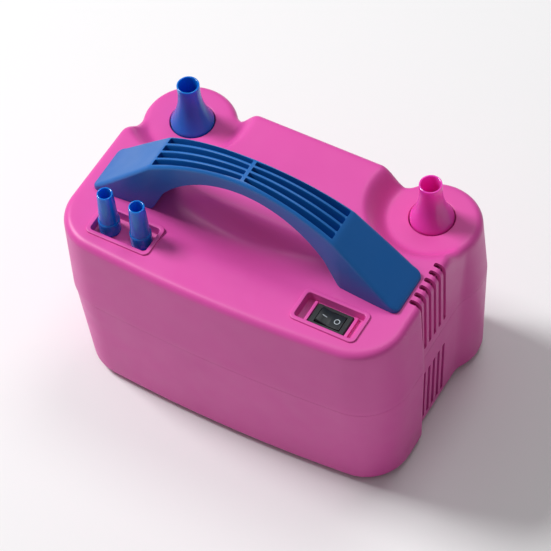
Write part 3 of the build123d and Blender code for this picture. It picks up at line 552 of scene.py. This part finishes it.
def deck_faces(rim, holes):
    """Flat triangles that fill the rim, clear of the holes: (points, faces)."""
    seeds = deck_seeds(rim)
    for hole in holes:
        centre = hole.mean(axis=0)
        wide = centre + (hole - centre) * CLEAR_OF_HOLE
        seeds = seeds[~inside(seeds, wide)]
    points = np.concatenate([rim] + holes + [seeds])
    edges = []
    start = 0
    for loop in [rim] + holes:
        size = len(loop)
        edges += [(start + i, start + (i + 1) % size) for i in range(size)]
        start += size
    result = geometry.delaunay_2d_cdt([Vector(p) for p in points], edges, [], 0, JOIN_DISTANCE)
    flat = np.array([tuple(v) for v in result[0]])
    faces = np.array([f for f in result[2] if len(f) == 3])
    middles = flat[faces].mean(axis=1)
    keep = inside(middles, rim)
    for hole in holes:
        keep &= ~inside(middles, hole)
    return flat, faces[keep]


def top_skin():
    """Outer skin of the top shell, open at the seam, the nozzle holes and the two recesses."""
    inner = outline(DECK, EDGE_INSET)
    height = deck_height(inner[:, 0], inner[:, 1])
    radius = np.full(len(height), EDGE_ROUND)
    low, high = outline(SEAM, 0.0), outline(DECK, 0.0)
    low_in, high_in = outline(SEAM, EDGE_INSET), outline(DECK, EDGE_INSET)
    loops = []

    def level_points(z, inset):
        """One point of the outline at each height and inset."""
        share = ((z - SEAM_Z) / (DECK_Z - SEAM_Z))[:, None]
        outer = low + share * (high - low)
        inward = low_in + share * (high_in - low_in)
        part = (inset / EDGE_INSET)[:, None]
        return outer + part * (inward - outer)

    for share, inset in WALL_ROWS:
        z = SEAM_Z + share * (height - radius - SEAM_Z)
        flat = level_points(z, np.full(len(z), inset))
        loops.append(np.column_stack([flat, z]))
    for i in range(1, EDGE_STEPS + 1):
        a = math.pi / 2 * i / EDGE_STEPS
        z = height - radius * (1 - math.sin(a))
        flat = level_points(z, radius * (1 - math.cos(a)))
        loops.append(np.column_stack([flat, z]))
    rim = loops[-1][:, :2]
    turn = np.arange(HOLE_POINTS) * 2 * math.pi / HOLE_POINTS
    ring = np.stack([np.cos(turn), np.sin(turn)], axis=1) * HOLE_RADIUS
    holes = [ring + (sx * NOZZLE_X, NOZZLE_Y) for sx in (-1, 1)]
    half_x, half_y = (half - RIM_BITE for half in RIM_HALF)
    holes += [rounded_box((sx * RECESS[0], RECESS[1]), half_x, half_y, RIM_HOLE_CORNER) for sx in (-1, 1)]
    flat, faces = deck_faces(rim, holes)
    lift = deck_height(flat[:, 0], flat[:, 1])
    lift[: len(rim)] = loops[-1][:, 2]
    skin = loops_mesh("skin", loops, close_ends=False)
    deck = mesh_from("deck", np.column_stack([flat, lift]), [tuple(int(i) for i in f) for f in faces])
    return tidy(joined("skin", [skin, deck]))


def rounded_box(centre, half_x, half_y, corner, steps=6):
    """Loop of a rectangle with round corners."""
    points = []
    for k, (sx, sy) in enumerate(((1, 1), (-1, 1), (-1, -1), (1, -1))):
        mid = (centre[0] + sx * (half_x - corner), centre[1] + sy * (half_y - corner))
        start = k * math.pi / 2
        for i in range(steps + 1):
            a = start + math.pi / 2 * i / steps
            points.append((mid[0] + corner * math.cos(a), mid[1] + corner * math.sin(a)))
    return np.array(points)


def vent_cutter():
    """Cutter for all the upper vent slots."""
    slots = []
    for sx, top in VENT_GROUPS:
        x0, x1 = sorted(sx * x for x in VENT_X)
        for i in range(VENT_COUNT):
            y = VENT_Y + (i - (VENT_COUNT - 1) / 2) * VENT_PITCH
            low, high = (x0, y - VENT_HALF, VENT_LOW), (x1, y + VENT_HALF, top)
            slots.append(box_mesh("slot", low, high, VENT_BEVEL))
    return joined("slots", slots)


def recess_mesh(sx, window=None):
    """Raised rim, walls and floor of one recess, as one skin of rounded loops."""
    centre = (sx * RECESS[0], RECESS[1])
    hx, hy = RIM_HALF
    loops = []
    for inset, lift, corner in RECESS_PATH:
        loop = rounded_box(centre, hx - inset, hy - inset, corner)
        loops.append([(x, y, DECK_Z + lift) for x, y in loop])
    if window:
        loop = rounded_box(centre, *window, WINDOW_CORNER)
        loops += [[(x, y, DECK_Z - depth) for x, y in loop] for depth in WINDOW_DEPTHS]
        return tidy(loops_mesh("recess", loops, close_ends=False))
    mesh = loops_mesh("recess", loops, close_ends=False)
    count = len(loops[0])
    last = (len(loops) - 1) * count
    bm = bmesh.new()
    bm.from_mesh(mesh)
    bm.verts.ensure_lookup_table()
    bm.faces.new([bm.verts[last + i] for i in range(count)])
    bm.to_mesh(mesh)
    bm.free()
    return tidy(mesh)


def add_top_shell():
    skin = top_skin()

    def thicken(scratch):
        mod = scratch.modifiers.new("wall", "SOLIDIFY")
        mod.thickness = WALL
        mod.offset = -1.0

    shell = cut(with_modifiers(skin, thicken), vent_cutter())
    parts = [shell]
    for sx in (-1, 1):
        parts.append(lathe_mesh("guide", GUIDE, (sx * NOZZLE_X, NOZZLE_Y), HOLE_POINTS, close=False))
    parts.append(recess_mesh(-1))
    parts.append(recess_mesh(1, window=SWITCH_WINDOW))
    y0, y1 = BAFFLE_Y
    for sx, top in BAFFLES:
        x0, x1 = sorted(sx * x for x in BAFFLE_X)
        parts.append(box_mesh("baffle", (x0, y0, BAFFLE_LOW), (x1, y1, top), BAFFLE_BEVEL, 2))
    parts.append(box_mesh("baffle", (LID_X[0], y0, LID_Z[0]), (LID_X[1], y1, LID_Z[1]), BAFFLE_BEVEL, 2))
    for side in (-1, 1):
        x0, x1 = sorted(RECESS[0] + side * x for x in LEDGE_X)
        low, high = (x0, RECESS[1] - LEDGE_HALF_Y, LEDGE_Z[0]), (x1, RECESS[1] + LEDGE_HALF_Y, LEDGE_Z[1])
        parts.append(box_mesh("ledge", low, high, LEDGE_BEVEL))
    for peg in PEGS:
        parts.append(lathe_mesh("peg", PEG_PROFILE, (-RECESS[0] + peg, RECESS[1]), PEG_POINTS, close=False))
    piece = add_piece("shell_top_moulding", joined("shell_top_moulding", parts), pink)
    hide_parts("top_shell")


# ---------------------------------------------------------------- handle
HANDLE_Y, HANDLE_END, RIB_END = -15.85, 95.1, 56.7
SHOULDER, INNER_X = (50.5, 140.0), 58.0
# Heights of the handle: top at the crown, the ribs' end and the feet, and its underside at the crown.
CROWN_Z, RIB_END_Z, FOOT_Z, UNDER_CROWN_Z = 176.5, 161.2, 125.6, 166.0
# Half width as a curve in x: at the crown, and the factors of x squared and x to the fourth.
WIDTH_CURVE = (9.4, 1.1485e-3, -5.73e-8)
# Rounds: at the ends as seen from above, along the top edges, and along the lower edges of arch and feet.
END_ROUND, TOP_ROUND, ARCH_ROUND, FOOT_ROUND = 4.0, 3.0, 1.0, 0.25
# Where the handle is thin, its rounds are at most its height divided by these.
TOP_SHARE, LOW_SHARE = 2.4, 2.5
ROUND_POINTS, LEAST_HEIGHT = 8, 0.8
# How far from the end the top begins to drop, and by how much.
END_DROP_FROM, END_DROP = 0.5, 0.35
CREASE_REACH, CREASE_STEPS = 0.9, 3
# Slots between the ribs: number, rib width, side wall, and the handle's half width at their two ends.
SLOTS, RIB_WIDTH, SIDE_WALL, SLOT_HALVES = 4, 1.6, 2.2, (9.4, 12.5)
SLOT_START, SLOT_MARGIN, SLOT_STEPS = 1.0, 1.2, 30
# The ends of a slot narrow over the taper to the pinch. Sections close to an end, and the first even one.
SLOT_TAPER, SLOT_PINCH = 0.8, 0.72
SLOT_END_STOPS, SLOT_EVEN = [0.0, 0.35, SLOT_TAPER], 1.5
# Section of a slot: distance past its half width, and height over the handle's top.
SLOT_SHAPE = ((0.0, -8.5), (0.0, -0.5), (0.1, -0.22), (0.3, -0.04), (0.45, 0.02), (0.45, 4.0))
# Distances from the handle's end of its first sections, and number of even steps over the rest of one half.
END_STOPS, HALF_STEPS = [0.0, 0.12, 0.3, 0.6, 1.0, 1.5, 2.2, 3.0, 4.0], 66


def arch(x, rise_at, drop_at, half):
    """Height of a circular arch with its crown at rise_at and its ends, at half, at drop_at."""
    sag = rise_at - drop_at
    radius = (half**2 + sag**2) / (2 * sag)
    return rise_at - radius + math.sqrt(radius**2 - x**2)


def handle_top(x):
    a = abs(x)
    if a <= RIB_END:
        return arch(a, CROWN_Z, RIB_END_Z, RIB_END)
    return RIB_END_Z + (a - RIB_END) * (FOOT_Z - RIB_END_Z) / (HANDLE_END - RIB_END)


def handle_under(x):
    a = abs(x)
    if a <= SHOULDER[0]:
        return arch(a, UNDER_CROWN_Z, SHOULDER[1], SHOULDER[0])
    if a < INNER_X:
        return SHOULDER[1] + (a - SHOULDER[0]) * (DECK_Z - SHOULDER[1]) / (INNER_X - SHOULDER[0])
    return DECK_Z


def handle_width(x):
    """Half width of the handle: narrow at the crown, wide at the feet."""
    middle, square, fourth = WIDTH_CURVE
    return middle + square * x**2 + fourth * x**4


def soft(function, x):
    """Average of a profile round x, which takes the edge off its creases."""
    span = min(CREASE_REACH, HANDLE_END - abs(x))
    around = range(-CREASE_STEPS, CREASE_STEPS + 1)
    return sum(function(x + span * k / CREASE_STEPS) for k in around) / len(around)


def handle_section(x):
    """Loop round the handle at x."""
    half = handle_width(x)
    over = abs(x) - (HANDLE_END - END_ROUND)
    if over > 0:
        half -= END_ROUND - math.sqrt(max(0.0, END_ROUND**2 - over**2))
    low, high = soft(handle_under, x), soft(handle_top, x)
    end = HANDLE_END - abs(x)
    if end < END_DROP_FROM:
        high -= END_DROP * (1 - end / END_DROP_FROM)
    low = min(low, high - LEAST_HEIGHT)
    top_round = min(TOP_ROUND, (high - low) / TOP_SHARE)
    low_round = min(FOOT_ROUND if abs(x) > INNER_X else ARCH_ROUND, (high - low) / LOW_SHARE)
    corners = (
        (half - top_round, high - top_round, top_round, 0),
        (top_round - half, high - top_round, top_round, 90),
        (low_round - half, low + low_round, low_round, 180),
        (half - low_round, low + low_round, low_round, 270),
    )
    points = []
    for cy, cz, r, start in corners:
        for i in range(ROUND_POINTS):
            a = math.radians(start + 90 * i / (ROUND_POINTS - 1))
            points.append((x, HANDLE_Y + cy + r * math.cos(a), cz + r * math.sin(a)))
    return points


def slot_mesh(side, low_end, high_end):
    """Cutter for one slot between two ribs; the ends give its y range at the middle and at the rib's end."""
    x_in = SLOT_START
    length = RIB_END - SLOT_MARGIN - x_in
    even = length - 2 * SLOT_EVEN
    stops = SLOT_END_STOPS + [SLOT_EVEN + even * i / SLOT_STEPS for i in range(SLOT_STEPS + 1)]
    stops += [length - stop for stop in reversed(SLOT_END_STOPS)]
    loops = []
    for stop in stops:
        share = stop / length
        y0, y1 = (low_end[k] + share * (high_end[k] - low_end[k]) for k in (0, 1))
        near = min(stop, length - stop)
        pinch = 1.0
        if near < SLOT_TAPER:
            pinch = SLOT_PINCH + (1 - SLOT_PINCH) * math.sqrt(1 - (1 - near / SLOT_TAPER) ** 2)
        mid, half = (y0 + y1) / 2, (y1 - y0) / 2 * pinch
        top = handle_top(x_in + stop)
        right = [(mid + (half + past), top + rise) for past, rise in SLOT_SHAPE]
        left = [(mid - (half + past), top + rise) for past, rise in reversed(SLOT_SHAPE)]
        loops.append([(side * (x_in + stop), HANDLE_Y + y, z) for y, z in right + left])
    return tidy(loops_mesh("slot", loops))


def add_handle():
    even = HANDLE_END - END_STOPS[-1]
    stops = END_STOPS + [END_STOPS[-1] + even * i / HALF_STEPS for i in range(1, HALF_STEPS + 1)]
    left = [s - HANDLE_END for s in stops]
    across = left + [-x for x in reversed(left[:-1])]
    body = tidy(loops_mesh("handle", [handle_section(x) for x in across]))
    cutters = []
    for i in range(SLOTS):
        ends = []
        for half in SLOT_HALVES:
            width = (2 * (half - SIDE_WALL) - (SLOTS - 1) * RIB_WIDTH) / SLOTS
            low = -(half - SIDE_WALL) + i * (width + RIB_WIDTH)
            ends.append((low, low + width))
        cutters += [slot_mesh(side, *ends) for side in (-1, 1)]
    body = cut(body, joined("slots", cutters))
    piece = add_piece("carry_handle", body, blue_handle)
    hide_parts("handle")


# ---------------------------------------------------------------- nozzles and spare adapters
PRESS_TOP_Z, AUTO_TOP_Z = 142.8, 141.1
# Straight tip under the mouth; then the flare, from the tip's radius outwards and by which power it opens.
TIP_LAND, TIP_STRAIGHT, FLARE_POWER = 5.0, 1.5, 2.2
OUTER_TIP, OUTER_FLARE, OUTER_STEPS = 6.45, 5.85, 20
INNER_TIP, INNER_FLARE, INNER_STEPS = 5.4, 5.2, 12
# The flare ends this far over the platform. The bore's starts lower than the outer one, and is shorter.
FLARE_END, BORE_LOWER, BORE_SHORTER = 1.0, 1.0, 0.5
# Mouth of a nozzle: (radius, height under its top). Skirt and flange: (radius, z).
MOUTH = [(5.42, 0.45), (5.55, 0.15), (5.8, 0.0), (6.1, 0.02), (6.36, 0.18), (6.45, 0.5)]
SKIRT = [(12.33, 112.0), (12.3, 96.2), (12.5, 95.7), (15.1, 95.7), (15.4, 95.4), (15.4, 92.3), (15.1, 92.0)]
SKIRT_BORE = [(10.9, 92.0), (10.6, 92.3)]
# Tab of the press nozzle that works the microswitch.
TAB_X, TAB_HALF_Y, TAB_Z, TAB_BEVEL = (13.0, 21.0), 3.0, (92.05, 95.65), 0.3
NOZZLE_POINTS, ADAPTER_POINTS = 96, 64
# Spare adapters: name and x. Their outline from the mouth down: (radius, height under the top).
ADAPTERS = (("a", -73.7), ("b", -53.7))
ADAPTER_LOW, ADAPTER_HIGH = 119.05, 150.35
ADAPTER_MOUTH = [(3.5, 0.4), (3.62, 0.12), (3.85, 0.0), (4.1, 0.0), (4.35, 0.15), (4.46, 0.5), (4.62, 3.0)]
# The same from the collar down: (radius, height over the foot).
ADAPTER_COLLAR = [
    (5.42, 9.9), (5.5, 9.5), (5.75, 9.35), (5.98, 9.1), (6.05, 8.7),
    (6.05, 0.3), (5.8, 0.0), (3.7, 0.0), (3.5, 0.3),
]


def nozzle_profile(top):
    """Closed outline of a nozzle, down its outside and up its bore: (radius, z)."""
    land, flare = top - TIP_LAND, PLATFORM_Z + FLARE_END
    outer = [(r, top - down) for r, down in MOUTH]
    outer += [(OUTER_TIP, land + TIP_STRAIGHT)]
    for i in range(OUTER_STEPS + 1):
        t = i / OUTER_STEPS
        outer.append((OUTER_TIP + OUTER_FLARE * t**FLARE_POWER, land - (land - flare) * t))
    inner = []
    for i in range(INNER_STEPS + 1):
        t = 1 - i / INNER_STEPS
        z = land - BORE_LOWER - (land - flare - BORE_SHORTER) * t
        inner.append((INNER_TIP + INNER_FLARE * t**FLARE_POWER, z))
    return outer + SKIRT + SKIRT_BORE + inner


def add_nozzles():
    for sx, top, node, body, mat, slot in (
        (-1, PRESS_TOP_Z, "press_nozzle", "press_nozzle", blue_nozzle, "nozzle_blue"),
        (1, AUTO_TOP_Z, "auto_nozzle", "case", pink_nozzle, "nozzle_pink"),
    ):
        meshes = [lathe_mesh(node, nozzle_profile(top), (sx * NOZZLE_X, NOZZLE_Y), NOZZLE_POINTS)]
        if body == "press_nozzle":
            low = (-NOZZLE_X + TAB_X[0], NOZZLE_Y - TAB_HALF_Y, TAB_Z[0])
            high = (-NOZZLE_X + TAB_X[1], NOZZLE_Y + TAB_HALF_Y, TAB_Z[1])
            meshes.append(box_mesh("tab", low, high, TAB_BEVEL))
        piece = add_piece(node + "_moulding", joined(node, meshes), mat, body)
        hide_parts(node)


def add_adapters():
    profile = [(r, ADAPTER_HIGH - down) for r, down in ADAPTER_MOUTH]
    profile += [(r, ADAPTER_LOW + up) for r, up in ADAPTER_COLLAR]
    for name, x in ADAPTERS:
        mesh = lathe_mesh("adapter", profile, (x, RECESS[1]), ADAPTER_POINTS)
        piece = add_piece("adapter_tube_" + name, mesh, blue_nozzle, "adapter_" + name)
        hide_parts("spare_adapter_" + name)


# Spring: wire radius, coil radius, turns, and points along each turn and round the wire.
WIRE_RADIUS, COIL_RADIUS, COIL_TURNS, COIL_STEPS, WIRE_POINTS = 0.7, 11.7, 4, 48, 12
# Its seat, the flange over it and the gap to the flange; then the middle of the wire at both ends.
SEAT_Z, FLANGE_LOW_Z, FLANGE_GAP = 74.0, 92.0, 0.1
SPRING_LOW, SPRING_HIGH = SEAT_Z + WIRE_RADIUS, FLANGE_LOW_Z - WIRE_RADIUS - FLANGE_GAP


def add_spring():
    """Compression spring under the press nozzle's flange, built at one fixed length; the real spring shortens
    as the nozzle is pressed.
    """
    length, steps = SPRING_HIGH - SPRING_LOW, COIL_TURNS * COIL_STEPS
    around = [2 * math.pi * k / WIRE_POINTS for k in range(WIRE_POINTS)]
    loops = []
    for i in range(steps + 1):
        turn = 2 * math.pi * i / COIL_STEPS
        out = Vector((math.cos(turn), math.sin(turn), 0))
        centre = Vector((-NOZZLE_X, NOZZLE_Y, SPRING_LOW + length * i / steps)) + COIL_RADIUS * out
        wire = [out * math.cos(a) + Vector((0, 0, math.sin(a))) for a in around]
        loops.append([centre + WIRE_RADIUS * side for side in wire])
    mesh = tidy(loops_mesh("spring", loops))
    piece = add_piece("press_spring", mesh, finish["spring_steel"])
    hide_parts("nozzle_spring")
    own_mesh(piece)


# ---------------------------------------------------------------- rocker and its state marks
ROCKER_HALF_LENGTH, ROCKER_HALF_WIDTH = 7.15, 4.7
ROCKER_AXIS_Z, ROCKER_TILT, ROCKER_BEVEL = 118.5, math.radians(8), 0.35
# Side view of the rocker: x and height over its axis.
ROCKER_FACE = [
    (-ROCKER_HALF_LENGTH, 3.9), (-3.6, 3.12), (0, 2.5), (3.6, 3.12), (ROCKER_HALF_LENGTH, 3.9),
    (ROCKER_HALF_LENGTH, -1.2), (0, -3.4), (-ROCKER_HALF_LENGTH, -1.2),
]
# Marks: distance from the middle, height over the axis and slope of the face under them.
MARK_X, MARK_Z, MARK_LEAN = 3.7, 3.2, math.atan(0.75 / 3.55)
BAR_HALF, BAR_BEVEL = (1.35, 0.22, 0.05), 0.03
RING_PROFILE = [(1.7, 0.0), (1.66, 0.05), (1.32, 0.05), (1.28, 0.0), (1.3, -0.05), (1.68, -0.05)]
RING_POINTS = 48


def add_rocker():
    verts = [(x, side * ROCKER_HALF_WIDTH, z) for side in (-1, 1) for x, z in ROCKER_FACE]
    count = len(ROCKER_FACE)
    faces = [(i, (i + 1) % count, count + (i + 1) % count, count + i) for i in range(count)]
    faces += [tuple(range(count)), tuple(reversed(range(count, 2 * count)))]
    mesh = bevelled(tidy(mesh_from("rocker", verts, faces)), ROCKER_BEVEL, 3)
    turn = Matrix.Translation((*RECESS, ROCKER_AXIS_Z)) @ Matrix.Rotation(ROCKER_TILT, 4, "Y")
    mesh.transform(turn)
    piece = add_piece("rocker_cap", mesh, finish["rocker_black"], "rocker")
    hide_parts("rocker")
    bar = box_mesh("bar", [-half for half in BAR_HALF], BAR_HALF, BAR_BEVEL, 1)
    ring = lathe_mesh("ring", RING_PROFILE, (0, 0), RING_POINTS)
    for name, mark, side in (("mark_on", bar, -1), ("mark_off", ring, 1)):
        lean = Matrix.Rotation(-side * MARK_LEAN, 4, "Y")
        mark.transform(turn @ Matrix.Translation((side * MARK_X, 0, MARK_Z)) @ lean)
        piece = add_piece(name, mark, mark_white, "rocker")


for part in frame["record"]["subparts"]:
    mesh = nodes[part["node"]].data
    mesh.materials.clear()
    mesh.materials.append(finish[part["material_slot"]])
add_top_shell()
add_handle()
add_nozzles()
add_adapters()
add_spring()
add_rocker()

add_camera()
add_stage()
